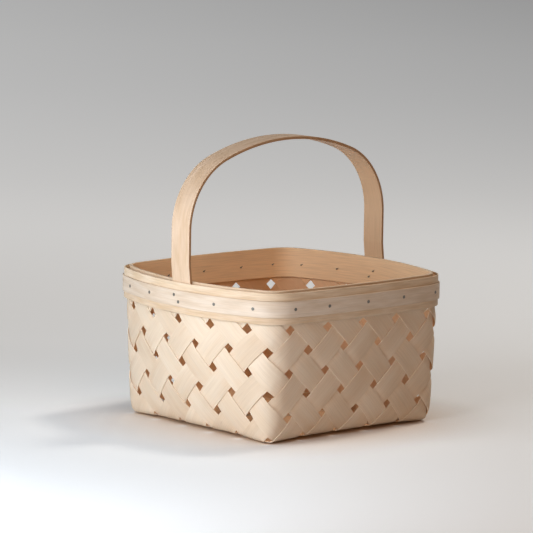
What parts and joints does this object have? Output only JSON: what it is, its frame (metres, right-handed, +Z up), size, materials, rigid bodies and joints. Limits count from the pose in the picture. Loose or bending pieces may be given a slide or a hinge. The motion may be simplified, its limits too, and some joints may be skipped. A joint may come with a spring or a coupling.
{
  "type": "woven market basket",
  "caption": "Square-bottomed market basket of diagonally plaited wood splints, with a nailed three-band rim and a fixed bentwood hoop handle.",
  "frame": {"origin": "centre of the base, at the level of its underside", "axes": "+Z up; the handle's ends are on the -Y and +Y sides; the +X and -X sides have no handle end"},
  "size_m": [0.3214, 0.3414, 0.3525],
  "materials": {
    "splint": "raw pale splint, matte",
    "wide_band": "raw shaved wood, matte",
    "nailed_band": "raw shaved wood, matte",
    "handle": "raw steam-bent wood, sanded",
    "tack": "dull steel"
  },
  "bodies": {
    "root": {"splint_a_1": "splint", "splint_a_2": "splint", "splint_a_3": "splint", "splint_a_4": "splint", "splint_a_5": "splint", "splint_a_6": "splint", "splint_a_7": "splint", "splint_a_8": "splint", "splint_a_9": "splint", "splint_a_10": "splint", "splint_b_1": "splint", "splint_b_2": "splint", "splint_b_3": "splint", "splint_b_4": "splint", "splint_b_5": "splint", "splint_b_6": "splint", "splint_b_7": "splint", "splint_b_8": "splint", "splint_b_9": "splint", "splint_b_10": "splint", "inner_rim_band": "wide_band", "outer_rim_band": "wide_band", "nailed_rim_band": "nailed_band", "handle": "handle", "rim_tacks": "tack", "handle_tacks": "tack"}
  },
  "joints": []
}
